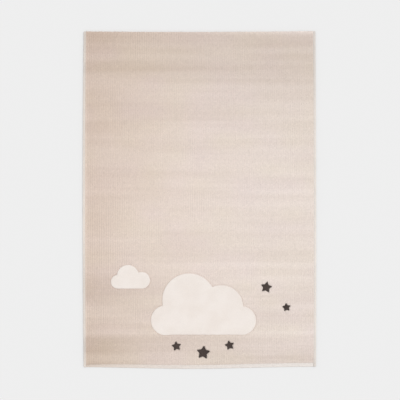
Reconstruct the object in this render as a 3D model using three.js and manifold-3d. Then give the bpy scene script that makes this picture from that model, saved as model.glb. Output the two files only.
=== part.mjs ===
// A woven rug for a child's room. One cloth of short beige pile carries it: the pile stands in fine ribs
// that run the length of the rug, a plush cloud, a small cloud and five stars stand a little proud of the
// ribs, and the near end closes in a flat woven hem. Thick yarn is overcast along each side.
// Millimetres, +Z up. It lies flat: the origin is on the floor under its middle, and +Y runs to the far end.

import * as THREE from 'three';
import { mergeVertices } from 'three/addons/utils/BufferGeometryUtils.js';
import Module from 'manifold-3d';

const wasm = await Module();
wasm.setup();

// Driving dimensions of the cloth
const RUG_WIDTH = 1600;
const RUG_LENGTH = 2300;
const RIB_COUNT = 128;
const RIB_CREST_SHARE = 0.46; // of a rib's pitch that its flat crest takes
const RIB_TOP = 10;
const RIB_GROOVE = 8;
const PLUSH_TOP = 13;
const PLUSH_ROOT = 4;
const PLUSH_BEVEL = 2; // the carved slope round a plush figure, across and up
const HEM_WIDTH = 21;
const HEM_TOP = 5.4;
const HEM_SET_BACK = 6.5; // the pile's front stands back this much more, so the hem is wider,
const CORNER_DROOP = 12; // but it comes forward again towards the near left corner
const DROOP_REACH = 190;
const PILE_FRONT = 5; // how far the first rows of pile slope up from the hem
const FAR_ROLL = 12; // how far the pile rolls down to the far end
const BASE_SPANS = 16; // straight spans that the underside follows a curved end with

// Driving dimensions of the overcast edge and of the strip of cloth inside it
const EDGE_WIDTH = 17;
const EDGE_TOP = 9;
const EDGE_YARN = 2;
const EDGE_ROUND = 3.2;
const STRIP_LOW = 2.3;
const STRIP_TOP = 5.3;
const GAP = 0.3;

// How the outline departs from a true rectangle
const NEAR_BELLY = 12.5; // the middle of the near end stands out past its corners
const NEAR_BELLY_X = -40;
const NEAR_SKEW = 1.6;
const FAR_HOLLOW = 4.5; // the middle of the far end is drawn in
const FAR_SKEW = 1;
const LEFT_TAPER = 6.5; // the left side draws in towards both ends
const RIGHT_TAPER = 3.2; // and the right side from a point below its middle
const RIGHT_TAPER_FROM = -0.3;

const HALF_WIDTH = RUG_WIDTH / 2;
const HALF_LENGTH = RUG_LENGTH / 2;
const PILE_HALF = HALF_WIDTH - EDGE_WIDTH - GAP;
const RIB_PITCH = (2 * PILE_HALF) / RIB_COUNT;

// Stations along the cloth, from the far end to the near one: where each lies, its share of full pile, and
// whether it follows the uneven front of the pile
const STATIONS = [
  { y: HALF_LENGTH, pile: 0.35 },
  { y: HALF_LENGTH - FAR_ROLL, pile: 1 },
  { y: HALF_LENGTH / 3, pile: 1 },
  { y: -HALF_LENGTH / 3, pile: 1 },
  { y: -HALF_LENGTH + HEM_WIDTH + PILE_FRONT, pile: 1, atFront: true },
  { y: -HALF_LENGTH + HEM_WIDTH, pile: 0, atFront: true },
  { y: -HALF_LENGTH, pile: 0 },
];

// Plush figures: the clouds' puffs are discs on a base with round ends, and the stars have five points
const CLOUDS = [
  {
    puffs: [
      { x: -230, y: -830, r: 104 },
      { x: -72, y: -692, r: 184 },
      { x: 150, y: -738, r: 150 },
      { x: 288, y: -832, r: 100 },
    ],
    base: { x0: -230, x1: 288, y: -832, r: 98 },
  },
  {
    puffs: [
      { x: -560, y: -566, r: 48 },
      { x: -490, y: -526, r: 76 },
      { x: -396, y: -556, r: 58 },
    ],
    base: { x0: -560, x1: -396, y: -570, r: 44 },
  },
];
const STARS = [
  { x: -158, y: -1008, r: 36, turn: 8 },
  { x: 26, y: -1052, r: 50, turn: -6 },
  { x: 206, y: -1002, r: 36, turn: 12 },
  { x: 458, y: -604, r: 42, turn: -10 },
  { x: 596, y: -742, r: 32, turn: 6 },
];
const CLOUD_STEPS = 16; // straight steps in half a turn of a puff
const STAR_STEPS = 3; // and in the round of a star's tip
const STAR_WAIST = 0.55; // inner radius of a star over its outer one
const STAR_SOFTNESS = 0.32; // share of a star's side that its rounded tips take

// The outline

function sideShift(across, along) {
  const left = -LEFT_TAPER * along ** 2;
  const right = -RIGHT_TAPER * (along - RIGHT_TAPER_FROM) ** 2;
  return across < 0 ? across * left : across * right;
}

function endShift(across, along) {
  const x = across * HALF_WIDTH - NEAR_BELLY_X;
  const belly = (NEAR_BELLY / 2) * (1 + Math.cos((Math.PI * x) / HALF_WIDTH));
  const near = -belly + NEAR_SKEW * across;
  const far = -FAR_HOLLOW * (1 - across ** 2) + FAR_SKEW * across;
  return along < 0 ? -along * near : along * far;
}

function frontShift(x) {
  return HEM_SET_BACK - CORNER_DROOP * Math.exp(-(x + HALF_WIDTH) / DROOP_REACH);
}

// Turns a straight extrusion, one step for each station, into its run along the rug
function layAlongRug(geometry) {
  const points = geometry.getAttribute('position');
  for (let i = 0; i < points.count; i++) {
    const station = STATIONS[Math.round(points.getZ(i))];
    const across = points.getX(i) / HALF_WIDTH;
    const along = station.y / HALF_LENGTH;
    const height = points.getY(i);
    const { hasPile } = geometry.userData;
    const pile = Math.max(0, height - HEM_TOP) * station.pile;
    const front = hasPile && station.atFront ? frontShift(points.getX(i)) : 0;
    points.setXYZ(
      i,
      points.getX(i) + sideShift(across, along),
      station.y + endShift(across, along) + front,
      hasPile ? Math.min(height, HEM_TOP) + pile : height,
    );
  }
  return geometry;
}

function extrudeAlongRug(section, hasPile) {
  const steps = STATIONS.length - 1;
  const geometry = new THREE.ExtrudeGeometry(section, {
    depth: steps,
    steps,
    bevelEnabled: false,
    curveSegments: 4,
  });
  geometry.userData.hasPile = hasPile;
  return layAlongRug(geometry);
}

// The cloth: a flat underside, a thin strip at each side for the overcast yarn, and the ribs on top

function clothSection() {
  const stripEnd = HALF_WIDTH - EDGE_YARN - GAP;
  const baseHalf = PILE_HALF - STRIP_LOW;
  const section = new THREE.Shape();
  section.moveTo(-baseHalf, 0);
  for (let i = 1; i <= BASE_SPANS; i++) {
    section.lineTo(baseHalf * ((2 * i) / BASE_SPANS - 1), 0);
  }
  section.lineTo(PILE_HALF, STRIP_LOW);
  section.lineTo(stripEnd, STRIP_LOW);
  section.lineTo(stripEnd, STRIP_TOP);
  section.lineTo(PILE_HALF, STRIP_TOP);
  for (let i = RIB_COUNT - 1; i >= 0; i--) {
    const middle = -PILE_HALF + (i + 0.5) * RIB_PITCH;
    const halfCrest = (RIB_CREST_SHARE * RIB_PITCH) / 2;
    section.lineTo(middle + RIB_PITCH / 2, RIB_GROOVE);
    section.lineTo(middle + halfCrest, RIB_TOP);
    section.lineTo(middle - halfCrest, RIB_TOP);
  }
  section.lineTo(-PILE_HALF, RIB_GROOVE);
  section.lineTo(-PILE_HALF, STRIP_TOP);
  section.lineTo(-stripEnd, STRIP_TOP);
  section.lineTo(-stripEnd, STRIP_LOW);
  section.lineTo(-PILE_HALF, STRIP_LOW);
  section.closePath();
  return section;
}

// The plush figures

function plush(outline, curveSegments) {
  const geometry = new THREE.ExtrudeGeometry(outline, {
    depth: PLUSH_TOP - PLUSH_ROOT - 2 * PLUSH_BEVEL,
    bevelThickness: PLUSH_BEVEL,
    bevelSize: PLUSH_BEVEL,
    bevelOffset: -PLUSH_BEVEL,
    bevelSegments: 2,
    curveSegments,
  });
  geometry.translate(0, 0, PLUSH_ROOT + PLUSH_BEVEL);
  return geometry;
}

function puffOutline({ x, y, r }) {
  return new THREE.Shape().absarc(x, y, r, 0, 2 * Math.PI);
}

function baseOutline({ x0, x1, y, r }) {
  const outline = new THREE.Shape();
  outline.absarc(x1, y, r, -Math.PI / 2, Math.PI / 2);
  outline.absarc(x0, y, r, Math.PI / 2, (3 * Math.PI) / 2);
  outline.closePath();
  return outline;
}

function starOutline({ x, y, r, turn }) {
  const corner = (i) => {
    const angle = THREE.MathUtils.degToRad(90 + turn + 36 * i);
    const reach = i % 2 === 0 ? r : r * STAR_WAIST;
    return new THREE.Vector2(x + reach * Math.cos(angle), y + reach * Math.sin(angle));
  };
  const outline = new THREE.Shape();
  for (let i = 0; i < 10; i += 2) {
    const tip = corner(i);
    const before = tip.clone().lerp(corner(i - 1), STAR_SOFTNESS);
    const after = tip.clone().lerp(corner(i + 1), STAR_SOFTNESS);
    if (i === 0) {
      outline.moveTo(before.x, before.y);
    } else {
      outline.lineTo(before.x, before.y);
    }
    outline.quadraticCurveTo(tip.x, tip.y, after.x, after.y);
    outline.lineTo(corner(i + 1).x, corner(i + 1).y);
  }
  outline.closePath();
  return outline;
}

// Joins closed geometries into one

function toSolid(geometry) {
  const bare = geometry.clone();
  bare.deleteAttribute('normal');
  bare.deleteAttribute('uv');
  const merged = mergeVertices(bare, 1e-3);
  return new wasm.Manifold(
    new wasm.Mesh({
      numProp: 3,
      vertProperties: merged.getAttribute('position').array,
      triVerts: new Uint32Array(merged.index.array),
    }),
  );
}

function join(geometries) {
  const whole = geometries.map(toSolid).reduce((sum, solid) => sum.add(solid));
  const mesh = whole.getMesh();
  const joined = new THREE.BufferGeometry();
  joined.setAttribute('position', new THREE.BufferAttribute(mesh.vertProperties, 3));
  joined.setIndex(new THREE.BufferAttribute(mesh.triVerts, 1));
  joined.computeVertexNormals();
  return joined;
}

// The overcast edge: yarn wrapped over, round and under the strip of cloth, so it is a channel in section

function edgeSection(side) {
  const inner = HALF_WIDTH - EDGE_WIDTH;
  const slotEnd = HALF_WIDTH - EDGE_YARN;
  const points = new THREE.Path();
  points.moveTo(inner, 0);
  points.absarc(HALF_WIDTH - EDGE_ROUND, EDGE_ROUND, EDGE_ROUND, -Math.PI / 2, 0);
  points.absarc(HALF_WIDTH - EDGE_ROUND, EDGE_TOP - EDGE_ROUND, EDGE_ROUND, 0, Math.PI / 2);
  points.lineTo(inner + EDGE_YARN, EDGE_TOP);
  points.lineTo(inner, EDGE_TOP - EDGE_YARN);
  points.lineTo(inner, STRIP_TOP + GAP);
  points.lineTo(slotEnd, STRIP_TOP + GAP);
  points.lineTo(slotEnd, STRIP_LOW - GAP);
  points.lineTo(inner, STRIP_LOW - GAP);
  return new THREE.Shape(points.getPoints(4).map((p) => new THREE.Vector2(side * p.x, p.y)));
}

// Materials

const BEIGE_PILE = new THREE.MeshStandardMaterial({ color: 0xd8c4b4, roughness: 0.95, metalness: 0 });
const EDGE_YARN_FINISH = new THREE.MeshStandardMaterial({ color: 0xdcd3cb, roughness: 0.9, metalness: 0 });

// The rug

const laid = new THREE.Group();

function addPiece(name, geometry, material) {
  const mesh = new THREE.Mesh(geometry, material);
  mesh.name = name;
  laid.add(mesh);
}

const clouds = CLOUDS.flatMap(({ puffs, base }) => [...puffs.map(puffOutline), baseOutline(base)]);
const figures = [
  ...clouds.map((outline) => plush(outline, CLOUD_STEPS)),
  ...STARS.map((star) => plush(starOutline(star), STAR_STEPS)),
];
addPiece('rug_cloth', join([extrudeAlongRug(clothSection(), true), ...figures]), BEIGE_PILE);
addPiece('overcast_edge_left', extrudeAlongRug(edgeSection(-1), false), EDGE_YARN_FINISH);
addPiece('overcast_edge_right', extrudeAlongRug(edgeSection(1), false), EDGE_YARN_FINISH);

// The outline isn't quite even, so the whole is moved to centre it on the origin
const middle = new THREE.Box3().setFromObject(laid).getCenter(new THREE.Vector3());
laid.position.set(-middle.x, -middle.y, 0);

const rug = new THREE.Group();
rug.add(laid);

export default rug;
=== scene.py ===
# A kids rug that lies flat on a pale floor, seen from straight above. Short beige pile stands in beaded ribs
# on a woven ground, with ivory clouds and charcoal stars in deeper plush, a flat hem at the near end and
# yarn overcast along both sides. Metres, +Z up, +Y to the far end.

import math

import bpy
import numpy as np
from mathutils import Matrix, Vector
from mathutils.geometry import delaunay_2d_cdt


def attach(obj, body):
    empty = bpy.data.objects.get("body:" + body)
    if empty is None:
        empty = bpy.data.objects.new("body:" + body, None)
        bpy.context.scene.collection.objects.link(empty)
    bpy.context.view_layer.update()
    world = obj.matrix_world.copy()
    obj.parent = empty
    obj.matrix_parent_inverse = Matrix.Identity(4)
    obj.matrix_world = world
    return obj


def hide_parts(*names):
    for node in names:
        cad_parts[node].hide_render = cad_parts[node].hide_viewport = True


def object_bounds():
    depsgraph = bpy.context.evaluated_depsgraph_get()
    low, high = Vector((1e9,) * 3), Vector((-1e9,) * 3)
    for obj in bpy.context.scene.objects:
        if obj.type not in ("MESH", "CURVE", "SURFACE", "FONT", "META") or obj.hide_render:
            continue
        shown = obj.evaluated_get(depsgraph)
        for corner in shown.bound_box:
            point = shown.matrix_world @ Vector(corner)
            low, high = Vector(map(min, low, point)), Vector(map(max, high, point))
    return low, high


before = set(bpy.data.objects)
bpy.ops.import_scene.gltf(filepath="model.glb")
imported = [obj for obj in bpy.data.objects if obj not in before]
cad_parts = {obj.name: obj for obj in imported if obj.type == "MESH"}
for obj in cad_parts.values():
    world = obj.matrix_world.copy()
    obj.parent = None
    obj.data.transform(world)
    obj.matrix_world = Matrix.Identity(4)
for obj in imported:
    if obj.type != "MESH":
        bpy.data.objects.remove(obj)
CAD_LOW, CAD_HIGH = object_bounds()

MM = 0.001

# Driving dimensions, the same as the solids have
RUG_WIDTH = 1.6
RUG_LENGTH = 2.3
RIB_COUNT = 128
HEM_WIDTH = 21 * MM
HEM_SET_BACK = 6.5 * MM  # the pile's front stands back this much more, and the hem is that much wider,
CORNER_DROOP = 12 * MM  # but it comes forward again towards the left corner
DROOP_REACH = 190 * MM
SET_BACK_FADE = 60 * MM
EDGE_WIDTH = 17 * MM
EDGE_TOP = 9 * MM
EDGE_YARN = 2 * MM
EDGE_ROUND = 3.2 * MM
STRIP_LOW = 2.3 * MM
STRIP_TOP = 5.3 * MM
GAP = 0.3 * MM
END_ROUND = 3.5 * MM  # the rounded ends of the overcast yarn

HALF_WIDTH = RUG_WIDTH / 2
HALF_LENGTH = RUG_LENGTH / 2
PILE_HALF = HALF_WIDTH - EDGE_WIDTH - GAP
PILE_FRONT = -HALF_LENGTH + HEM_WIDTH
RIB_PITCH = 2 * PILE_HALF / RIB_COUNT

# How the outline departs from a true rectangle
NEAR_BELLY = 12.5 * MM
NEAR_BELLY_X = -40 * MM
NEAR_SKEW = 1.6 * MM
FAR_HOLLOW = 4.5 * MM
FAR_SKEW = 1 * MM
LEFT_TAPER = 6.5 * MM
RIGHT_TAPER = 3.2 * MM
RIGHT_TAPER_FROM = -0.3

# The pile of the field
PILE_FLOOR = 3.5 * MM  # the pile's own underside, a little inside the ground weave
RIB_GROOVE = 7.8 * MM
RIB_CREST = 10.3 * MM
RIB_COLUMNS = 6  # points across a rib
RIB_ROUNDNESS = 0.8
TUFT_PITCH = 9.6 * MM  # each rib is a row of tufts, with a point on each and one between each two
TUFT_WAIST = 0.55  # share of a rib's height that is lost between two tufts
OUTERMOST_PILE = 0.1  # share of a rib's rise that the pile has at the field's two sides, by the yarn
OUTERMOST_LEAN = 1.0 * MM  # how far the pile leans out there, over the yarn
TUFT_HEIGHT_SPREAD = 0.3 * MM
TUFT_SHIFT = 0.7 * MM
SWELL = {"height": 0.5 * MM, "long": 0.5, "wide": 0.12, "seed": 1}  # slow rise and fall of the whole pile
FRONT_ROUND = 3.4 * MM
FAR_ROUND = 4 * MM
# The rounded ends of the pile, from the foot up: each row's share of the pile's height, and how far out it
# stands as a share of FRONT_ROUND or FAR_ROUND
ROUNDING = ((0.0, 0.95), (0.22, 0.98), (0.45, 1.0), (0.66, 0.95), (0.84, 0.76), (0.96, 0.42))
FRONT_ROWS = 8  # rows that lean over the hem and show their shaded sides
FRONT_SHADE = 0.35  # what that leaves of their height in the pile's shading
WAIST_SHADE = 0.5  # share of a waist's depth that counts in the pile's shading
HIDDEN_SHADE = 0.8  # and the share of light at its foot, inside the rug
STRIPS = 4  # the field is made in this many strips of whole ribs, so that each stays a light mesh
FIELD_SEED = 7

# The carved line round the plush figures
CARVE_DEPTH = 2.8 * MM
CARVE_WIDTH = 4.5 * MM
UNDER_PLUSH = 5.5 * MM  # the width over which the field's pile sinks away under a figure's rim
UNDER_PLUSH_SINK = 0.75  # and the share of its height that it loses there
RIM_CLEARANCE = 2.5 * MM  # how far outside the rim that starts

# The plush figures' own pile
PLUSH_TOP = 12.8 * MM
PLUSH_RIM = 5.2 * MM  # height where the rim starts to round over
PLUSH_ROUND = 5.5 * MM
PLUSH_INSETS = (0.6 * MM, 1.6 * MM, 3.2 * MM, 5.6 * MM)  # rings of points inside a rim
INSET_SLACK = 0.25 * MM  # a ring's point is dropped where it is further than this from its depth
LOOSE_DEPTH = 8.5 * MM  # loose points fill a figure from this depth on
LOOSE_ROWS = 0.87  # distance of their rows over the distance in a row
LOOSE_SHIFT = 0.2  # how far each is moved at most, as a share of their distance
PLUSH_DENTS = ({"depth": 0.35 * MM, "size": 9 * MM}, {"depth": 0.3 * MM, "size": 50 * MM})  # soft hollows
INSIDE_ONLY = 1  # the triangulation keeps what lies inside the outline
MERGE_GAP = 1e-7

# The ground weave
GROUND_TOP = 4 * MM  # its height under the pile
HEM_LOW = 3.4 * MM  # height of the hem beside its two ridges
HEM_RIDGE = 1.7 * MM
HEM_POWER = 0.5  # how full the ridges are
HEM_EDGE = 2.2 * MM  # height of the hem's outermost edge
WEFT_RELIEF = 0.12 * MM
WEFT_COLUMNS = 4  # columns of points to each wave of the weft
STRIP_SLACK = 0.2 * MM  # how far the strips inside the yarn stay below STRIP_TOP
GROUND_COLUMNS = 526
STRIP_COLUMNS = 4
GROUND_ROWS = 12  # under the pile, and as many on the back
HEM_ROWS = 16
UNDER_FRONT = 2 * MM  # how far behind the pile's front the hem starts
HEM_NOSE = 0.6 * MM  # how far the hem's top ends before its outermost edge
# How far the top and the back stay inside the rug's ends
FAR_TOP_INSET = 0.3 * MM
NEAR_FOOT_INSET = 1.5 * MM
FAR_FOOT_INSET = 0.6 * MM

# The overcast yarn
WRAP_PITCH = 4.6 * MM
WRAP_RINGS = 3  # rings of points to each turn of the yarn
WRAP_LEAN = 3.5 * MM  # how far a turn leans from the top of the edge to its underside
WRAP_BULGE = 1.2 * MM  # how far a turn's crest stands out of the groove beside it
WRAP_POWER = 0.7  # how full a turn's crest is
MEAN_CREST = 0.7  # the crest that keeps the section at its own size
PLUMPNESS_SPREAD = 0.16
WRAP_WANDER = 0.25 * MM
WRAP_SHADE = 0.84  # light left between two turns
WRAP_REACH = HALF_LENGTH - END_ROUND - WRAP_LEAN / 2  # how far the turns and the strip inside them go
CLOSED_SLOT = 0.3 * MM  # depth of the slot's dimple in the rounded ends
END_TURNS = (25, 45, 65, 82)  # degrees round each end at which a ring of points lies
LOW_SHOULDER = (0.6 * MM, 0.5 * MM)  # the yarn's inner corners, from its inner face and from the floor
HIGH_SHOULDER = (0.8 * MM, 0.8 * MM)  # or down from its top
EDGE_CROWN = 0.3 * MM  # how far its top stands above EDGE_TOP at its middle
LEAST_BULGES = (0.3, 0.4)  # share of a turn's bulge at the lower inner corner and at the slot's upper lip
ON_FLOOR = 0.1 * MM  # points of the section below this rest on the floor
EDGE_SEEDS = {-1: 12, 1: 11}  # by side

# Plush figures, in millimetres. Their places are those of the solids, before the rug is centred on the
# origin.
CLOUDS = [
    {
        "puffs": [
            {"x": -230, "y": -830, "r": 104},
            {"x": -72, "y": -692, "r": 184},
            {"x": 150, "y": -738, "r": 150},
            {"x": 288, "y": -832, "r": 100},
        ],
        "base": {"x0": -230, "x1": 288, "y": -832, "r": 98},
    },
    {
        "puffs": [
            {"x": -560, "y": -566, "r": 48},
            {"x": -490, "y": -526, "r": 76},
            {"x": -396, "y": -556, "r": 58},
        ],
        "base": {"x0": -560, "x1": -396, "y": -570, "r": 44},
    },
]
STARS = [
    {"x": -158, "y": -1008, "r": 36, "turn": 8},
    {"x": 26, "y": -1052, "r": 50, "turn": -6},
    {"x": 206, "y": -1002, "r": 36, "turn": 12},
    {"x": 458, "y": -604, "r": 42, "turn": -10},
    {"x": 596, "y": -742, "r": 32, "turn": 6},
]
STAR_TIPS = 5
STAR_WAIST = 0.55  # inner radius of a star over its outer one
STAR_SOFTNESS = 0.32  # share of a star's side that its rounded tips take
TIP_POINTS = 7
STAR_REACH = 0.1  # no part of a star is this far from its middle
RIM_STEP = 3 * MM  # distance of the points on a cloud's rim
RIM_SLACK = 0.01 * MM  # a point counts as on the rim while it is no further inside a neighbour than this

# Colours, linear. The field, the hem and the yarn are lighter at the right side of the rug: partly painted
# light, partly the yarn's own colour.
BEIGE_LEFT = np.array((0.768, 0.630, 0.542))
BEIGE_RIGHT = np.array((0.820, 0.722, 0.662))
SHADE_TINT = np.array((0.86, 1.0, 1.15))  # shaded pile loses more blue than red
IVORY = (0.875, 0.807, 0.758)
IVORY_SHADE = (0.845, 0.77, 0.715)
CHARCOAL = (0.058, 0.040, 0.034)
CHARCOAL_LIGHT = (0.095, 0.068, 0.058)
EDGE_YARN_LEFT = np.array((0.83, 0.755, 0.69))
EDGE_YARN_RIGHT = np.array((0.855, 0.79, 0.735))
HEM_LEFT = np.array((0.742, 0.637, 0.562))
HEM_RIGHT = np.array((0.84, 0.785, 0.745))
BACK_COLOUR = (0.62, 0.53, 0.43)
FLOOR_GREY = 0.778
SKY_GREY = 0.885

# Light and floor
SUN_STRENGTH = 0.8
SUN_SOFTNESS = math.radians(40)
SUN_DIRECTION = (-0.5, -0.3, -1.0)
FLOOR_REACH = 60.0
FLOOR_DROP = 0.2 * MM


def side_shift(across, along):
    left = -LEFT_TAPER * along**2
    right = -RIGHT_TAPER * (along - RIGHT_TAPER_FROM) ** 2
    return across * np.where(across < 0, left, right)


def end_shift(across, along):
    x = across * HALF_WIDTH - NEAR_BELLY_X
    near = -NEAR_BELLY / 2 * (1 + np.cos(np.pi * x / HALF_WIDTH)) + NEAR_SKEW * across
    far = -FAR_HOLLOW * (1 - across**2) + FAR_SKEW * across
    return np.where(along < 0, -along * near, along * far)


def lay(x, y):
    """Where a point of the true rectangle lies in the rug's slightly uneven outline."""
    across, along = x / HALF_WIDTH, y / HALF_LENGTH
    return x + side_shift(across, along), y + end_shift(across, along)


def front_shift(x):
    """How far the pile's front stands back from the straight line at PILE_FRONT."""
    return HEM_SET_BACK - CORNER_DROOP * np.exp(-(x + HALF_WIDTH) / DROOP_REACH)


# The rug is centred on the origin as the solids are
END_SAMPLES = 400
NEAR_END = lay(np.linspace(-HALF_WIDTH, HALF_WIDTH, END_SAMPLES), np.full(END_SAMPLES, -HALF_LENGTH))
CENTRING = np.array((CAD_HIGH.x - HALF_WIDTH, CAD_LOW.y - NEAR_END[1].min(), 0))


def soft_noise(x, y, step_x, step_y, seed):
    """Smooth noise from -1 to 1 over the rug, with soft spots about step_x by step_y in size."""
    u = (x + RUG_WIDTH) / step_x
    v = (y + RUG_LENGTH) / step_y
    i, j = np.floor(u).astype(int), np.floor(v).astype(int)
    lattice = np.random.default_rng(seed).uniform(-1, 1, (j.max() + 2, i.max() + 2))
    fu, fv = (f * f * (3 - 2 * f) for f in (u - i, v - j))
    low = lattice[j, i] * (1 - fu) + lattice[j, i + 1] * fu
    high = lattice[j + 1, i] * (1 - fu) + lattice[j + 1, i + 1] * fu
    return low * (1 - fv) + high * fv


def spots_at(x, y, spots):
    """Soft noise whose spots are as long across the rug and as wide along it as spots says."""
    return soft_noise(x, y, spots["long"], spots["wide"], spots["seed"])


def smooth_step(x):
    x = np.clip(x, 0, 1)
    return x * x * (3 - 2 * x)


# Figures: how far a point is inside each, and their outlines


def star_corners(star):
    """The outline of a star with rounded tips."""
    def corner(i):
        angle = math.radians(90 + star["turn"] + i * 180 / STAR_TIPS)
        reach = star["r"] * MM * (1 if i % 2 == 0 else STAR_WAIST)
        return np.array((star["x"] * MM + reach * math.cos(angle), star["y"] * MM + reach * math.sin(angle)))

    outline = []
    for i in range(0, 2 * STAR_TIPS, 2):
        tip = corner(i)
        before = tip + STAR_SOFTNESS * (corner(i - 1) - tip)
        after = tip + STAR_SOFTNESS * (corner(i + 1) - tip)
        for t in np.linspace(0, 1, TIP_POINTS):
            outline.append((1 - t) ** 2 * before + 2 * t * (1 - t) * tip + t * t * after)
        outline.append(corner(i + 1))
    return np.array(outline)


def depth_in_polygon(x, y, corners):
    """How far points lie inside a closed outline; negative outside it."""
    nearest = np.full(x.shape, np.inf)
    inside = np.zeros(x.shape, bool)
    for (ax, ay), (bx, by) in zip(corners, np.roll(corners, -1, axis=0)):
        dx, dy = bx - ax, by - ay
        t = np.clip(((x - ax) * dx + (y - ay) * dy) / (dx * dx + dy * dy), 0, 1)
        nearest = np.minimum(nearest, np.hypot(x - ax - t * dx, y - ay - t * dy))
        crosses = ((ay > y) != (by > y)) & (x < ax + (y - ay) * dx / (dy or 1e-12))
        inside ^= crosses
    return np.where(inside, nearest, -nearest)


def depth_in_cloud(x, y, cloud):
    """How far points lie inside the discs and the base of a cloud; negative outside them."""
    base = cloud["base"]
    along_base = np.clip(x, base["x0"] * MM, base["x1"] * MM)
    depth = base["r"] * MM - np.hypot(x - along_base, y - base["y"] * MM)
    for puff in cloud["puffs"]:
        depth = np.maximum(depth, puff["r"] * MM - np.hypot(x - puff["x"] * MM, y - puff["y"] * MM))
    return depth


def cloud_outline(cloud):
    """The points of the cloud's rim, in order: those of each disc and of the base that no other covers."""
    base = cloud["base"]
    discs = cloud["puffs"] + [{"x": base[end], "y": base["y"], "r": base["r"]} for end in ("x0", "x1")]
    points = []
    for disc in discs:
        count = int(2 * math.pi * disc["r"] * MM / RIM_STEP)
        angle = np.linspace(0, 2 * math.pi, count, endpoint=False)
        x = disc["x"] * MM + disc["r"] * MM * np.cos(angle)
        y = disc["y"] * MM + disc["r"] * MM * np.sin(angle)
        points.append(np.stack((x, y), axis=1))
    straight = np.arange(base["x0"] * MM + RIM_STEP, base["x1"] * MM, RIM_STEP)
    points.append(np.stack((straight, np.full(len(straight), (base["y"] - base["r"]) * MM)), axis=1))
    points = np.concatenate(points)
    on_rim = depth_in_cloud(points[:, 0], points[:, 1], cloud) < RIM_SLACK
    return in_order(points[on_rim], least_gap=RIM_STEP / 4)


def in_order(points, least_gap):
    """Walks round a rim from each point to the nearest that is left, and skips those within least_gap."""
    left = list(range(1, len(points)))
    order = [0]
    while left:
        gaps = np.hypot(*(points[left] - points[order[-1]]).T)
        nearest = int(np.argmin(gaps))
        following = left.pop(nearest)
        if gaps[nearest] > least_gap:
            order.append(following)
    return points[order]


OUTLINES = {
    "cloud": [cloud_outline(cloud) for cloud in CLOUDS],
    "star": [star_corners(star) for star in STARS],
}


def depth_in_figures(x, y):
    """How far points lie inside any figure; negative outside them all."""
    depth = np.full(x.shape, -1.0)
    for cloud in CLOUDS:
        depth = np.maximum(depth, depth_in_cloud(x, y, cloud))
    for corners in OUTLINES["star"]:
        near = np.hypot(x - corners[:, 0].mean(), y - corners[:, 1].mean()) < STAR_REACH
        depth[near] = np.maximum(depth[near], depth_in_polygon(x[near], y[near], corners))
    return depth


# Meshes


def add_object(name, points, faces, materials, material_index=None):
    mesh = bpy.data.meshes.new(name)
    mesh.from_pydata((points + CENTRING).tolist(), [], faces)
    mesh.shade_smooth()
    for material in materials:
        mesh.materials.append(material)
    if material_index is not None:
        mesh.polygons.foreach_set("material_index", material_index)
    mesh.update()
    piece = bpy.data.objects.new(name, mesh)
    bpy.context.scene.collection.objects.link(piece)
    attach(piece, "root")
    return piece


def grid_faces(rows, columns, start=0):
    """Quads of a grid whose points run along each row in turn, facing up where x grows along a row."""
    first = start + np.arange(rows - 1)[:, None] * columns + np.arange(columns - 1)
    return np.stack((first, first + 1, first + columns + 1, first + columns), axis=-1).reshape(-1, 4)


def ring_faces(rings, sides):
    """Quads between closed rings of points."""
    ring = np.arange(rings - 1)[:, None] * sides
    side = np.arange(sides)
    following = (side + 1) % sides
    return np.stack(
        (ring + side, ring + following, ring + sides + following, ring + sides + side), axis=-1
    ).reshape(-1, 4)


# The field's pile


def field_rows():
    """Each row of points: its place along the rug, its share of the pile's height, its share of a tuft's
    crown, and which tuft it is on."""
    start, end = PILE_FRONT + FRONT_ROUND, HALF_LENGTH - FAR_ROUND
    count = 2 * round((end - start) / TUFT_PITCH) + 1
    rise, out = np.array(ROUNDING).T
    near, far = start - FRONT_ROUND * out, (end + FAR_ROUND * out)[::-1]
    y = np.concatenate((near, np.linspace(start, end, count), far))
    share = np.concatenate((rise, np.ones(count), rise[::-1]))
    full_row = np.arange(count)
    crown = np.concatenate((np.ones(len(rise)), 1 - full_row % 2, np.ones(len(rise))))
    tuft = (full_row + 1) // 2
    tuft = np.concatenate((np.zeros(len(rise), int), tuft, np.full(len(rise), tuft[-1])))
    return y, share, crown, tuft


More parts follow.
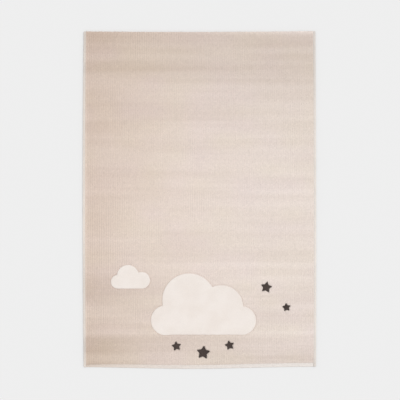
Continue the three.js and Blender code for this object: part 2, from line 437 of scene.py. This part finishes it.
def field_surface():
    """The whole field as a grid of points, with the share of full height that sets the painted groove shade,
    and the tuft's tone at each.
    """
    row_y, share, crown, tuft = field_rows()
    column = np.arange(RIB_COUNT * RIB_COLUMNS + 1)
    rib = np.minimum(column // RIB_COLUMNS, RIB_COUNT - 1)
    crest = np.sin(math.pi * (column % RIB_COLUMNS) / RIB_COLUMNS) ** RIB_ROUNDNESS
    crest[[0, -1]] = OUTERMOST_PILE
    random = np.random.default_rng(FIELD_SEED)

    def for_each_tuft(spread):
        return random.normal(0, spread, (tuft[-1] + 1, RIB_COUNT))[tuft][:, rib]

    x = -PILE_HALF + column[None, :] * RIB_PITCH / RIB_COLUMNS + crest * for_each_tuft(TUFT_SHIFT / 2)
    x[:, 0] -= OUTERMOST_LEAN
    x[:, -1] += OUTERMOST_LEAN
    fade = 1 - np.clip((row_y[:, None] - PILE_FRONT) / SET_BACK_FADE, 0, 1)
    y = row_y[:, None] + crest * for_each_tuft(TUFT_SHIFT) + front_shift(x) * fade
    x, y = lay(x, y)
    depth = depth_in_figures(x, y)
    rib_rise = (RIB_CREST - RIB_GROOVE) * crest * (1 - TUFT_WAIST * (1 - crown[:, None]))
    pile = RIB_GROOVE - PILE_FLOOR + rib_rise + crest * for_each_tuft(TUFT_HEIGHT_SPREAD)
    pile += SWELL["height"] * spots_at(x, y, SWELL)
    pile -= CARVE_DEPTH * np.exp(-((depth / CARVE_WIDTH) ** 2))
    pile *= 1 - UNDER_PLUSH_SINK * smooth_step((depth + RIM_CLEARANCE) / UNDER_PLUSH)
    z = PILE_FLOOR + share[:, None] * pile
    # Each point's share of full height, which sets the painted shade of its groove
    height = crest * (1 - WAIST_SHADE * TUFT_WAIST * (1 - crown[:, None]))
    height[:, [0, -1]] = 1
    height[:FRONT_ROWS] *= FRONT_SHADE
    tone = for_each_tuft(1)
    return np.stack((x, y, z), axis=-1), height, tone


# Painted shade: how light falls on the lie of the pile, which leans a little more in some soft bands across
# the rug.
PAINTED_SHADE_BANDS = [
    {"y": 1.14, "reach": 0.42, "left": -0.15, "right": -0.21},
    {"y": 1.12, "reach": 0.05, "left": -0.06, "right": 0.045},
    {"y": 0.89, "reach": 0.04, "left": -0.09, "right": -0.01},
    {"y": 0.74, "reach": 0.09, "left": 0.0, "right": -0.03},
    {"y": 0.42, "reach": 0.33, "left": -0.055, "right": -0.03},
    {"y": -0.60, "reach": 0.13, "left": -0.095, "right": 0.0},
    {"y": -0.87, "reach": 0.06, "left": -0.01, "right": -0.035},
    {"y": -1.01, "reach": 0.07, "left": -0.15, "right": -0.08},
    {"y": -1.12, "reach": 0.045, "left": -0.01, "right": -0.12},
    {"y": -1.10, "reach": 0.60, "left": -0.075, "right": -0.02},
]
STREAKS = [
    {"long": 0.75, "wide": 0.042, "share": 0.040, "seed": 2},
    {"long": 0.34, "wide": 0.012, "share": 0.016, "seed": 3},
    {"long": 0.30, "wide": 0.22, "share": 0.016, "seed": 4},
]
NEAR_STREAKS = 0.8  # how much stronger the streaks are near the hem
STREAKS_GROW_FROM, STREAKS_GROW_TO = -0.3, -1.0
RIM_LIGHT = 0.07  # the outermost pile at the left and far sides stands upright and catches more light,
RIM_LIGHT_FAR_RIGHT = 0.13  # most of all at the right of the far end
RIM_REACH = 12 * MM
FAR_RIM_REACH = 18 * MM
BANDS_ON_YARN = 0.75  # share of the bands' shade that falls on the overcast yarn beside them
TUFT_TONE = 0.015

# Soft spots in the field: where the left colour turns into the right one, where its hue drifts, and where
# its grooves have more painted shade
COLOUR_TURN = {"shift": 0.1, "long": 0.3, "wide": 0.2, "seed": 5}
HUE_SPOTS = {"long": 0.16, "wide": 0.10, "seed": 8}
HUE_DRIFT = np.array((0.0, -0.007, 0.018))
GROOVE_SHADE_SPOTS = {"share": 0.7, "long": 0.13, "wide": 0.19, "seed": 9}
GROOVE_SHADE_USUAL = 0.62  # how much painted shade the grooves have between such spots at the left side
GROOVE_SHADE_LOSS = 0.8  # how much less they have at the right
GROOVE_SHADE_LEAST, GROOVE_SHADE_MOST = 0.01, 0.20  # painted shade: how much darker the grooves are, at the least and at the most
GROOVE_SHARE = 0.43  # the mean of that over a rib, which a spot of deeper painted groove shade gets back to keep its tone


def share_right(x):
    """0 at the rug's left side and 1 at its right, with most of the change on the left."""
    return 1 - (1 - np.clip((x + HALF_WIDTH) / RUG_WIDTH, 0, 1)) ** 2


def light_in_bands(x, y):
    """Share of light that the bands leave at each point."""
    right = share_right(x)
    light = np.ones(x.shape)
    for band in PAINTED_SHADE_BANDS:
        strength = band["left"] * (1 - right) + band["right"] * right
        light += strength * np.exp(-(((y - band["y"]) / band["reach"]) ** 2))
    return light


def painted_light_of_pile(x, y):
    """Share of painted light on the pile at each point: the shade of its bands and streaks, and its rims'
    painted light.
    """
    light = light_in_bands(x, y)
    growth = smooth_step((STREAKS_GROW_FROM - y) / (STREAKS_GROW_FROM - STREAKS_GROW_TO))
    for streak in STREAKS:
        light += streak["share"] * (1 + NEAR_STREAKS * growth) * spots_at(x, y, streak)
    left_rim = RIM_LIGHT * np.exp(-(((x + PILE_HALF) / RIM_REACH) ** 2))
    far_strength = RIM_LIGHT + (RIM_LIGHT_FAR_RIGHT - RIM_LIGHT) * share_right(x)
    far_rim = far_strength * np.exp(-(((HALF_LENGTH - y) / FAR_RIM_REACH) ** 2))
    return light + np.maximum(left_rim, far_rim)


def field_colour(x, y, height, tone):
    """The pile's colour at each point, from its place, its share of full height for the painted shade in the
    grooves, and its tuft's tone.
    """
    right = share_right(x + COLOUR_TURN["shift"] * spots_at(x, y, COLOUR_TURN))[..., None]
    colour = BEIGE_LEFT + right * (BEIGE_RIGHT - BEIGE_LEFT)
    # Painted shade and light of the pile's lie: its bands, streaks and rims
    shade = 1 - painted_light_of_pile(x, y)[..., None]
    hue = spots_at(x, y, HUE_SPOTS)[..., None]
    # Painted shade in the grooves between the ribs, deeper in some soft spots and at the left
    usual = GROOVE_SHADE_USUAL - GROOVE_SHADE_LOSS * right[..., 0]
    groove_shade_share = smooth_step(usual + GROOVE_SHADE_SPOTS["share"] * spots_at(x, y, GROOVE_SHADE_SPOTS))
    groove_shade = GROOVE_SHADE_LEAST + (GROOVE_SHADE_MOST - GROOVE_SHADE_LEAST) * groove_shade_share
    given_back = GROOVE_SHARE * (GROOVE_SHADE_MOST - GROOVE_SHADE_LEAST) * (groove_shade_share - smooth_step(usual))
    tone_and_groove_shade = (1 + TUFT_TONE * tone) * (1 - groove_shade * (1 - height)) * (1 + given_back)
    return colour * (1 - shade * SHADE_TINT) * (1 + hue * HUE_DRIFT) * tone_and_groove_shade[..., None]


def grid_normals(points):
    """The normal at each point of a grid, so that strips of it meet with no seam."""
    across = np.gradient(points, axis=1)
    along = np.gradient(points, axis=0)
    normals = np.cross(across, along)
    return normals / np.maximum(np.linalg.norm(normals, axis=-1, keepdims=True), 1e-12)


def map_for_strip(mesh, rows, columns, top_count):
    """A map that holds the strip's top as two halves side by side, and its hidden faces in a thin margin."""
    margin = 0.02
    layer = mesh.uv_layers.new(name="OFBake")
    loops = np.zeros(len(mesh.loops), np.int32)
    mesh.loops.foreach_get("vertex_index", loops)
    row, column = np.divmod(np.minimum(loops, rows * columns - 1), columns)
    half_rows = (rows - 1) // 2
    face_first_row = np.repeat(row[0 : 4 * top_count : 4], 4)
    second = face_first_row >= half_rows
    uv = np.zeros((len(loops), 2))
    top = slice(0, 4 * top_count)
    gutter = 0.004
    u = column[top] / (columns - 1) * (0.5 - 2 * gutter) + gutter + 0.5 * second
    v = (row[top] - half_rows * second) / (rows - 1 - half_rows)
    uv[top, 0] = u
    uv[top, 1] = margin + gutter + v * (1 - margin - 2 * gutter)
    hidden = slice(4 * top_count, None)
    uv[hidden, 0] = row[hidden] / rows
    is_foot = loops[hidden] >= rows * columns
    uv[hidden, 1] = margin * np.where(is_foot, 0.7, 0.2)
    layer.data.foreach_set("uv", uv.astype(np.float32).ravel())


def sides_and_underside(rows, columns, round_rows):
    """The faces that close a strip. Its points are its top's rows, and then a left and a right foot for each
    row that isn't rounded."""
    faces = []
    near_left, far_right = rows * columns, rows * columns + 2 * (rows - 2 * round_rows) - 1
    near_right, far_left = near_left + 1, far_right - 1
    for i in range(rows - 2 * round_rows - 1):
        left_top = (round_rows + i) * columns
        right_top = left_top + columns - 1
        left_foot = near_left + 2 * i
        right_foot = left_foot + 1
        faces.append([left_top, left_top + columns, left_foot + 2, left_foot])
        faces.append([right_top + columns, right_top, right_foot, right_foot + 2])
        faces.append([left_foot, left_foot + 2, right_foot + 2, right_foot])
    near_rounding = [r * columns for r in range(round_rows + 1)]
    far_rounding = [r * columns for r in range(rows - round_rows - 1, rows)]
    for rounding, left_foot, right_foot in (
        (near_rounding, near_left, near_right),
        (far_rounding, far_left, far_right),
    ):
        faces.append(rounding + [left_foot])
        faces.append([i + columns - 1 for i in reversed(rounding)] + [right_foot])
    near_row = list(range(columns))
    far_row = list(range((rows - 1) * columns, rows * columns))
    faces.append([near_left, near_right] + near_row[::-1])
    faces.append([far_right, far_left] + far_row)
    return faces


def add_field(material):
    """The field's pile, cut into strips whose points and normals meet."""
    surface, height, tone = field_surface()
    colours = field_colour(surface[..., 0], surface[..., 1], height, tone)
    normals = grid_normals(surface)
    rows, round_rows = surface.shape[0], len(ROUNDING)
    columns = RIB_COUNT // STRIPS * RIB_COLUMNS + 1
    strips = []
    for strip in range(STRIPS):
        first = strip * (columns - 1)
        part = slice(first, first + columns)
        top = surface[:, part].reshape(-1, 3)
        feet = surface[round_rows : rows - round_rows][:, [first, first + columns - 1]].copy()
        feet[..., 2] = PILE_FLOOR
        points = np.concatenate((top, feet.reshape(-1, 3)))
        faces = grid_faces(rows, columns).tolist()
        top_count = len(faces)
        faces += sides_and_underside(rows, columns, round_rows)
        piece = add_object(f"field_pile_{strip + 1}", points, faces, [material])
        mesh = piece.data
        own_normals = np.zeros((len(points), 3))
        own_normals[: len(top)] = normals[:, part].reshape(-1, 3)
        own_normals[len(top) :: 2] = (-1, 0, 0)
        own_normals[len(top) + 1 :: 2] = (1, 0, 0)
        mesh.normals_split_custom_set_from_vertices(own_normals.tolist())
        hidden_colour = np.tile(BEIGE_LEFT * HIDDEN_SHADE, (len(points) - len(top), 1))
        colour_points(mesh, np.concatenate((colours[:, part].reshape(-1, 3), hidden_colour)))
        map_for_strip(mesh, rows, columns, top_count)
        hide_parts("rug_cloth")
        strips.append(piece)
    return strips


# Plush figures


def add_plush(name, outlines, depth_of, materials, spacing, seed):
    """Domed cut pile on each outline, one closed mesh for all of them."""
    random = np.random.default_rng(seed)
    points, faces, count = [], [], 0
    for outline, depth_at in zip(outlines, depth_of):
        low, high = outline.min(axis=0), outline.max(axis=0)
        xs, ys = np.meshgrid(
            np.arange(low[0], high[0], spacing), np.arange(low[1], high[1], spacing * LOOSE_ROWS)
        )
        xs[1::2] += spacing / 2
        inner = np.stack((xs.ravel(), ys.ravel()), axis=1)
        inner += random.uniform(-LOOSE_SHIFT, LOOSE_SHIFT, inner.shape) * spacing
        inner = inner[depth_at(inner[:, 0], inner[:, 1]) > LOOSE_DEPTH]
        rings = [outline]
        for inset in PLUSH_INSETS:
            moved = inset_ring(outline, inset)
            keep = np.abs(depth_at(moved[:, 0], moved[:, 1]) - inset) < INSET_SLACK
            rings.append(moved[keep])
        flat = np.concatenate(rings + [inner])
        edges = [(i, (i + 1) % len(outline)) for i in range(len(outline))]
        found, _, triangles, *_ = delaunay_2d_cdt(
            [Vector(p) for p in flat], edges, [], INSIDE_ONLY, MERGE_GAP
        )
        top = np.array([tuple(p) for p in found])
        depth = depth_at(top[:, 0], top[:, 1])
        rounding = np.sqrt(1 - (1 - np.clip(depth / PLUSH_ROUND, 0, 1)) ** 2)
        z = PLUSH_RIM + (PLUSH_TOP - PLUSH_RIM) * rounding
        for number, dents in enumerate(PLUSH_DENTS, start=1):
            noise = soft_noise(top[:, 0], top[:, 1], dents["size"], dents["size"], seed + number)
            z -= dents["depth"] * rounding * (1 - noise) / 2
        rim = [int(np.argmin(np.abs(top - corner).sum(axis=1))) for corner in outline]
        foot = np.column_stack((top[rim], np.full(len(rim), PILE_FLOOR)))
        points += [np.column_stack((top, z)), foot]
        faces += [[count + i for i in t] for t in triangles]
        first_foot = count + len(top)
        for i in range(len(rim)):
            j = (i + 1) % len(rim)
            faces.append([count + rim[j], count + rim[i], first_foot + i, first_foot + j])
        faces.append([first_foot + i for i in reversed(range(len(rim)))])
        count = first_foot + len(rim)
    piece = add_object(name, np.concatenate(points), faces, materials)
    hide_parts("rug_cloth")
    return piece


def inset_ring(outline, inset):
    """The outline moved inwards, for one that runs anticlockwise."""
    ahead = np.roll(outline, -1, axis=0) - np.roll(outline, 1, axis=0)
    ahead /= np.linalg.norm(ahead, axis=1, keepdims=True)
    inward = np.stack((-ahead[:, 1], ahead[:, 0]), axis=1)
    return outline + inset * inward


def anticlockwise(outline):
    """The outline, turned round if it runs clockwise."""
    x, y = outline.T
    area = (x * np.roll(y, -1) - np.roll(x, -1) * y).sum()
    return outline if area > 0 else outline[::-1]


# The ground weave, with its hem and its back


def hem_height(s):
    """Height of the hem's top at a share s of its width, from the pile's front to the outer edge."""
    ridges = np.abs(np.sin(2 * math.pi * np.clip(s, 0, 1))) ** HEM_POWER
    return HEM_LOW + HEM_RIDGE * ridges


def colour_points(mesh, colours):
    """Gives each point of a mesh its own yarn colour, for the material to use."""
    layer = mesh.attributes.new("yarn_colour", "FLOAT_COLOR", "POINT")
    rgba = np.column_stack((colours, np.ones(len(colours)))).astype(np.float32)
    layer.data.foreach_set("color", rgba.ravel())


def add_ground(hem_material, back_material):
    """A closed tube of the weave's section along the rug, made of columns across it."""
    strip_end = HALF_WIDTH - EDGE_YARN - GAP
    body_x = np.linspace(-PILE_HALF, PILE_HALF, GROUND_COLUMNS)
    strip_x = np.linspace(PILE_HALF + GAP, strip_end, STRIP_COLUMNS)
    x = np.concatenate((-strip_x[::-1], body_x, strip_x))
    columns = len(x)
    top_y = np.linspace(HALF_LENGTH - FAR_TOP_INSET, PILE_FRONT + UNDER_FRONT, GROUND_ROWS)
    hem_s = np.linspace(0, 1, HEM_ROWS + 1)[:-1]
    hem_y = PILE_FRONT - hem_s * (HEM_WIDTH - HEM_NOSE)
    under_y = np.linspace(-HALF_LENGTH + NEAR_FOOT_INSET, HALF_LENGTH - FAR_FOOT_INSET, GROUND_ROWS)
    section_y = np.concatenate((top_y, hem_y, [-HALF_LENGTH], under_y))
    on_hem = np.concatenate((np.zeros(len(top_y)), np.ones(len(hem_y)), [0.5], np.zeros(len(under_y))))
    at_front = np.concatenate((np.zeros(len(top_y) - 1), [1], 1 - hem_s, np.zeros(1 + len(under_y))))
    top_z = np.concatenate((np.full(len(top_y), GROUND_TOP), hem_height(hem_s)))
    section_z = np.concatenate((top_z, [HEM_EDGE], np.zeros(len(under_y))))
    weft = np.sin(2 * math.pi * np.arange(columns) / WEFT_COLUMNS)
    pick = np.cos(math.pi * np.arange(len(section_y)))  # 1 and -1 in turn
    points = np.zeros((columns, len(section_y), 3))
    under_yarn = np.repeat(np.abs(x) > PILE_HALF, len(section_y)).reshape(columns, -1)
    flat_x = np.repeat(x[:, None], len(section_y), axis=1)
    flat_y = section_y + front_shift(flat_x) * at_front
    flat_y = np.where(under_yarn, flat_y * (WRAP_REACH / HALF_LENGTH), flat_y)
    points[..., 0], points[..., 1] = lay(flat_x, flat_y)
    z = section_z + WEFT_RELIEF * on_hem * weft[:, None] * pick
    points[..., 2] = np.where(under_yarn, np.clip(z, STRIP_LOW, STRIP_TOP - STRIP_SLACK), z)
    sides = len(section_y)
    faces = ring_faces(columns, sides).tolist()
    faces.append(list(range(sides))[::-1])
    faces.append(list(range((columns - 1) * sides, columns * sides)))
    first_under = len(top_y) + len(hem_y)
    is_back = [i % sides >= first_under for i in range((columns - 1) * sides)] + [False, False]
    piece = add_object(
        "ground_weave", points.reshape(-1, 3), faces, [hem_material, back_material], np.array(is_back, int)
    )
    right = share_right(points[..., 0].reshape(-1, 1))
    is_under = np.tile(np.arange(sides) >= first_under, columns)[:, None]
    colour_points(piece.data, np.where(is_under, BACK_COLOUR, HEM_LEFT + right * (HEM_RIGHT - HEM_LEFT)))
    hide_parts("rug_cloth")
    return piece


# The overcast edges


def edge_section():
    """The edge's section at the right side: its points, and how much each bulges with a turn of the yarn."""
    inner, slot_end = HALF_WIDTH - EDGE_WIDTH, HALF_WIDTH - EDGE_YARN
    low_centre, high_centre = EDGE_ROUND, EDGE_TOP - EDGE_ROUND
    outer = HALF_WIDTH - EDGE_ROUND
    middle = (inner + outer) / 2
    points = [(inner, STRIP_LOW - GAP), (inner + LOW_SHOULDER[0], LOW_SHOULDER[1]), (middle, 0.0)]
    for centre, turn in ((low_centre, -90), (high_centre, 0)):
        for step in range(4):
            angle = math.radians(turn + 30 * step)
            points.append((outer + EDGE_ROUND * math.cos(angle), centre + EDGE_ROUND * math.sin(angle)))
    points.append((middle, EDGE_TOP + EDGE_CROWN))
    points.append((inner + HIGH_SHOULDER[0], EDGE_TOP - HIGH_SHOULDER[1]))
    points += [(inner, STRIP_TOP + GAP), (slot_end, STRIP_TOP + GAP), (slot_end, STRIP_LOW - GAP)]
    at_corner, at_lip = LEAST_BULGES
    bulge = [0, at_corner] + [1] * (len(points) - 5) + [at_lip, 0, 0]
    return np.array(points), np.array(bulge)


def add_edge(side, name, material):
    """Turns of yarn round the strip of ground at one side, with rounded ends."""
    section, bulge = edge_section()
    sides = len(section)
    middle = np.array((HALF_WIDTH - EDGE_WIDTH / 2, EDGE_TOP / 2))
    outward = section - middle
    outward /= np.linalg.norm(outward, axis=1, keepdims=True)
    outward[(section[:, 1] < ON_FLOOR) & (outward[:, 1] < 0), 1] = 0
    turns = int(2 * WRAP_REACH / WRAP_PITCH)
    rings = turns * WRAP_RINGS + 1
    random = np.random.default_rng(EDGE_SEEDS[side])
    plump = np.repeat(1 + PLUMPNESS_SPREAD * random.normal(0, 1, turns + 1), WRAP_RINGS)[:rings]
    crest = np.abs(np.sin(math.pi * np.arange(rings) / WRAP_RINGS)) ** WRAP_POWER * plump
    wander = WRAP_WANDER * random.normal(0, 1, rings) * crest
    end_turn = np.radians(END_TURNS)
    end_y = HALF_LENGTH - END_ROUND * (1 - np.sin(end_turn))
    y = np.concatenate((-end_y[::-1], np.linspace(-WRAP_REACH, WRAP_REACH, rings) + wander, end_y))
    size = np.concatenate((np.cos(end_turn)[::-1], np.ones(rings), np.cos(end_turn)))
    end_crest = np.full(len(END_TURNS), MEAN_CREST)
    crest = np.concatenate((end_crest, crest, end_crest))
    rings = len(y)
    across = section + (crest[:, None, None] - MEAN_CREST) * WRAP_BULGE * bulge[:, None] * outward
    # In the rounded ends the slot closes to a dimple a third as high
    slot_middle = (STRIP_LOW + STRIP_TOP) / 2
    across[size < 1, -2:, 0] = HALF_WIDTH - EDGE_WIDTH + CLOSED_SLOT
    across[size < 1, -2:, 1] = slot_middle + (section[-2:, 1] - slot_middle) / 3
    across = middle + (across - middle) * size[:, None, None]
    lean = WRAP_LEAN * (0.5 - np.cumsum(bulge) / bulge.sum())
    flat_y = np.clip(y[:, None] + lean * bulge * size[:, None], -HALF_LENGTH, HALF_LENGTH)
    points = np.zeros((rings, sides, 3))
    points[..., 0], points[..., 1] = lay(side * across[..., 0], flat_y)
    points[..., 2] = np.maximum(across[..., 1], 0)
    faces = ring_faces(rings, sides)
    caps = [list(range(sides))[::-1], list(range((rings - 1) * sides, rings * sides))]
    if side > 0:
        faces = faces[:, ::-1]
        caps = [cap[::-1] for cap in caps]
    piece = add_object(name, points.reshape(-1, 3), faces.tolist() + caps, [material])
    shade = WRAP_SHADE + (1 - WRAP_SHADE) * np.clip(crest, 0, 1)
    light = 1 + BANDS_ON_YARN * (light_in_bands(points[..., 0], points[..., 1]) - 1)
    colour = EDGE_YARN_RIGHT if side > 0 else EDGE_YARN_LEFT
    colour_points(piece.data, (shade[:, None] * light).reshape(-1, 1) * colour)
    return piece


# Materials. The scales of noise and cells are in spots for each metre.
SPECULAR = 0.15
SHEEN_ROUGHNESS = 0.6
SHEEN_TINT = (1.0, 0.97, 0.94, 1)
END_MIDDLE, END_RIM = 0.05, 0.6  # distance in cells at which a yarn end is at its highest and lowest
HAIRS_IN_RELIEF = 0.7
FUZZ_IN_RELIEF = 0.4
STRAND_SQUEEZE = (1, 5, 1)  # strands run across the edge, so they are this much finer along it


class Nodes:
    """A material's nodes, with short ways to add and join them."""

    def __init__(self, name, roughness, sheen):
        self.material = bpy.data.materials.new(name)
        self.material.use_nodes = True
        self.tree = self.material.node_tree
        self.shader = self.tree.nodes["Principled BSDF"]
        self.shader.inputs["Roughness"].default_value = roughness
        self.shader.inputs["Specular IOR Level"].default_value = SPECULAR
        self.shader.inputs["Sheen Weight"].default_value = sheen
        self.shader.inputs["Sheen Roughness"].default_value = SHEEN_ROUGHNESS
        self.shader.inputs["Sheen Tint"].default_value = SHEEN_TINT
        self.place = self.add("TexCoord").outputs["Object"]

    def add(self, kind, **settings):
        node = self.tree.nodes.new("ShaderNode" + kind)
        for name, value in settings.items():
            setattr(node, name, value)
        return node

    def join(self, source, target):
        self.tree.links.new(source, target)

    def stretched(self, scale):
        """The object's coordinates times scale."""
        node = self.add("Mapping")
        node.inputs["Scale"].default_value = scale
        self.join(self.place, node.inputs["Vector"])
        return node.outputs["Vector"]

    def noise(self, scale, detail=2.0, place=None):
        node = self.add("TexNoise")
        node.inputs["Scale"].default_value = scale
        node.inputs["Detail"].default_value = detail
        self.join(place or self.place, node.inputs["Vector"])
        return node.outputs["Fac"]

    def cells(self, scale):
        node = self.add("TexVoronoi", feature="SMOOTH_F1")
        node.inputs["Scale"].default_value = scale
        self.join(self.place, node.inputs["Vector"])
        return node.outputs["Distance"]

    def ranged(self, value, low, high, to_low, to_high):
        """The value with the range low to high moved to the range to_low to to_high."""
        node = self.add("MapRange")
        for name, number in zip(("From Min", "From Max", "To Min", "To Max"), (low, high, to_low, to_high)):
            node.inputs[name].default_value = number
        self.join(value, node.inputs["Value"])
        return node.outputs["Result"]

    def varied(self, scale, least, most, detail=3.0, low=0.3, high=0.7):
        """Noise that goes from least to most, over the part of it from low to high."""
        return self.ranged(self.noise(scale, detail), low, high, least, most)

    def maths(self, operation, first, second=0):
        node = self.add("Math", operation=operation)
        for socket, value in zip(node.inputs, (first, second)):
            if isinstance(value, (int, float)):
                socket.default_value = value
            else:
                self.join(value, socket)
        return node.outputs["Value"]

    def mixed(self, factor, first, second):
        """The first colour where factor is 0 and the second where it is 1."""
        node = self.add("Mix", data_type="RGBA")
        self.join(factor, node.inputs["Factor"])
        for name, value in (("A", first), ("B", second)):
            socket = [s for s in node.inputs if s.name == name and s.type == "RGBA"][0]
            socket.default_value = (*value, 1)
        return [s for s in node.outputs if s.type == "RGBA"][0]

    def own_colour(self):
        """The colour that colour_points gave to each point."""
        return self.add("Attribute", attribute_name="yarn_colour").outputs["Color"]

    def times(self, colour, *values):
        """The colour, made lighter or darker by each value in turn."""
        for value in values:
            node = self.add("VectorMath", operation="SCALE")
            self.join(colour, node.inputs[0])
            self.join(value, node.inputs["Scale"])
            colour = node.outputs["Vector"]
        return colour

    def finish(self, colour, height, distance):
        """Sets the colour, and the relief that height gives over distance."""
        bump = self.add("Bump")
        bump.inputs["Strength"].default_value = 1.0
        bump.inputs["Distance"].default_value = distance
        self.join(height, bump.inputs["Height"])
        self.join(bump.outputs["Normal"], self.shader.inputs["Normal"])
        self.join(colour, self.shader.inputs["Base Color"])
        return self.material


def yarn_ends(nodes, ends_scale, hairs_scale):
    """Curled yarn ends, 1 at the middle of each and 0 between them, and the same with hairs for relief."""
    ends = nodes.ranged(nodes.cells(ends_scale), END_MIDDLE, END_RIM, 1.0, 0.0)
    hairs = nodes.noise(hairs_scale, detail=3.0)
    return ends, nodes.maths("ADD", ends, nodes.maths("MULTIPLY", hairs, HAIRS_IN_RELIEF))


def field_material():
    nodes = Nodes("field_pile", roughness=0.95, sheen=0.15)
    ends, relief = yarn_ends(nodes, ends_scale=300, hairs_scale=1400)
    heather = nodes.varied(420, least=0.93, most=1.07)
    fleck = nodes.varied(140, least=1.0, most=1.05, detail=1.0, low=0.62, high=0.72)
    # Painted shade between the yarn ends, where their relief is low
    depth = nodes.ranged(ends, 0.0, 1.0, 0.92, 1.06)
    colour = nodes.times(nodes.own_colour(), heather, fleck, depth)
    return nodes.finish(colour, relief, distance=1.2 * MM)


def plush_material(name, base, other, least_light):
    """Dense cut pile in two near shades, with least_light as the share of light between the yarn ends."""
    nodes = Nodes(name, roughness=0.97, sheen=0.2)
    patch = nodes.varied(9, least=0, most=1, detail=2.0, low=0.35, high=0.65)
    ends, relief = yarn_ends(nodes, ends_scale=560, hairs_scale=2300)
    heather = nodes.varied(600, least=0.95, most=1.05)
    depth = nodes.ranged(ends, 0.0, 1.0, least_light, 1.04)
    colour = nodes.times(nodes.mixed(patch, base, other), heather, depth)
    return nodes.finish(colour, relief, distance=0.9 * MM)


def edge_material():
    nodes = Nodes("edge_yarn", roughness=0.85, sheen=0.25)
    strands = nodes.noise(420, place=nodes.stretched(STRAND_SQUEEZE))
    # The strands are darker where their relief is low: painted shade between them
    tone = nodes.ranged(strands, 0.3, 0.7, 0.9, 1.06)
    patch = nodes.varied(12, least=0.94, most=1.0, detail=2.0)
    return nodes.finish(nodes.times(nodes.own_colour(), tone, patch), strands, distance=0.5 * MM)


def weave_material(name, pitch, relief):
    """Plain weave: threads cross over and under one another on a square pitch."""
    nodes = Nodes(name, roughness=0.9, sheen=0.1)
    apart = nodes.add("SeparateXYZ")
    nodes.join(nodes.place, apart.inputs["Vector"])
    turn = math.pi / pitch
    signs = [nodes.maths("SINE", nodes.maths("MULTIPLY", apart.outputs[axis], turn)) for axis in ("X", "Y")]
    waves = [nodes.maths("ABSOLUTE", sign) for sign in signs]
    over = nodes.maths("GREATER_THAN", nodes.maths("MULTIPLY", signs[0], signs[1]))
    under = nodes.maths("SUBTRACT", 1, over)
    thread = nodes.maths(
        "ADD", nodes.maths("MULTIPLY", waves[0], over), nodes.maths("MULTIPLY", waves[1], under)
    )
    fuzz = nodes.noise(900, detail=3.0)
    height = nodes.maths("ADD", thread, nodes.maths("MULTIPLY", fuzz, FUZZ_IN_RELIEF))
    shade = nodes.ranged(thread, 0, 1, 0.80, 1.04)
    tone = nodes.varied(60, least=0.97, most=1.03)
    return nodes.finish(nodes.times(nodes.own_colour(), shade, tone), height, relief)


# The scene round the rug


def add_floor():
    nodes = Nodes("pale_floor", roughness=1.0, sheen=0.0)
    nodes.shader.inputs["Specular IOR Level"].default_value = 0.0
    nodes.shader.inputs["Base Color"].default_value = (FLOOR_GREY, FLOOR_GREY, FLOOR_GREY, 1)
    mesh = bpy.data.meshes.new("floor")
    corners = [(x * FLOOR_REACH, y * FLOOR_REACH, 0) for x, y in ((-1, -1), (1, -1), (1, 1), (-1, 1))]
    mesh.from_pydata(corners, [], [(0, 1, 2, 3)])
    mesh.materials.append(nodes.material)
    floor = bpy.data.objects.new("floor", mesh)
    floor.location.z = -FLOOR_DROP
    bpy.context.scene.collection.objects.link(floor)


def add_light():
    world = bpy.data.worlds.new("studio")
    world.use_nodes = True
    world.node_tree.nodes["Background"].inputs["Color"].default_value = (SKY_GREY, SKY_GREY, SKY_GREY, 1)
    bpy.context.scene.world = world
    lamp = bpy.data.lights.new("soft_key", "SUN")
    lamp.energy = SUN_STRENGTH
    lamp.angle = SUN_SOFTNESS
    key = bpy.data.objects.new("soft_key", lamp)
    key.rotation_euler = Vector(SUN_DIRECTION).to_track_quat("-Z", "Y").to_euler()
    bpy.context.scene.collection.objects.link(key)


# The camera looks straight down and shows the rug at the photo's size and place
PHOTO_SIDE = 400
METRES_PER_PIXEL = 6.86 * MM
RUG_MIDDLE_IN_PHOTO = (199.53, 199.96)
LENS = 70.0
SENSOR = 36.0


def add_camera():
    lens = bpy.data.cameras.new("camera")
    lens.lens, lens.sensor_width = LENS, SENSOR
    camera = bpy.data.objects.new("camera", lens)
    distance = PHOTO_SIDE * METRES_PER_PIXEL * LENS / SENSOR
    middle = (PHOTO_SIDE / 2 - RUG_MIDDLE_IN_PHOTO[0], RUG_MIDDLE_IN_PHOTO[1] - PHOTO_SIDE / 2)
    camera.location = (middle[0] * METRES_PER_PIXEL, middle[1] * METRES_PER_PIXEL, distance)
    bpy.context.scene.collection.objects.link(camera)
    bpy.context.scene.camera = camera


add_camera()
add_light()
add_floor()
bpy.context.scene.view_settings.view_transform = "Standard"

strips = add_field(field_material())
clouds = add_plush(
    "cloud_plush",
    [anticlockwise(o) for o in OUTLINES["cloud"]],
    [lambda x, y, c=cloud: depth_in_cloud(x, y, c) for cloud in CLOUDS],
    [plush_material("ivory_pile", IVORY, IVORY_SHADE, least_light=0.95)],
    spacing=4.5 * MM,
    seed=21,
)
stars = add_plush(
    "star_plush",
    [anticlockwise(o) for o in OUTLINES["star"]],
    [lambda x, y, c=corners: depth_in_polygon(x, y, c) for corners in OUTLINES["star"]],
    [plush_material("charcoal_pile", CHARCOAL, CHARCOAL_LIGHT, least_light=0.55)],
    spacing=3 * MM,
    seed=31,
)
ground = add_ground(
    weave_material("hem_weave", pitch=3 * MM, relief=0.5 * MM),
    weave_material("back_weave", pitch=4 * MM, relief=0.8 * MM),
)
yarn = edge_material()
edges = [
    add_edge(-1, "overcast_yarn_left", yarn),
    add_edge(1, "overcast_yarn_right", yarn),
]
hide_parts("overcast_edge_left")
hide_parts("overcast_edge_right")
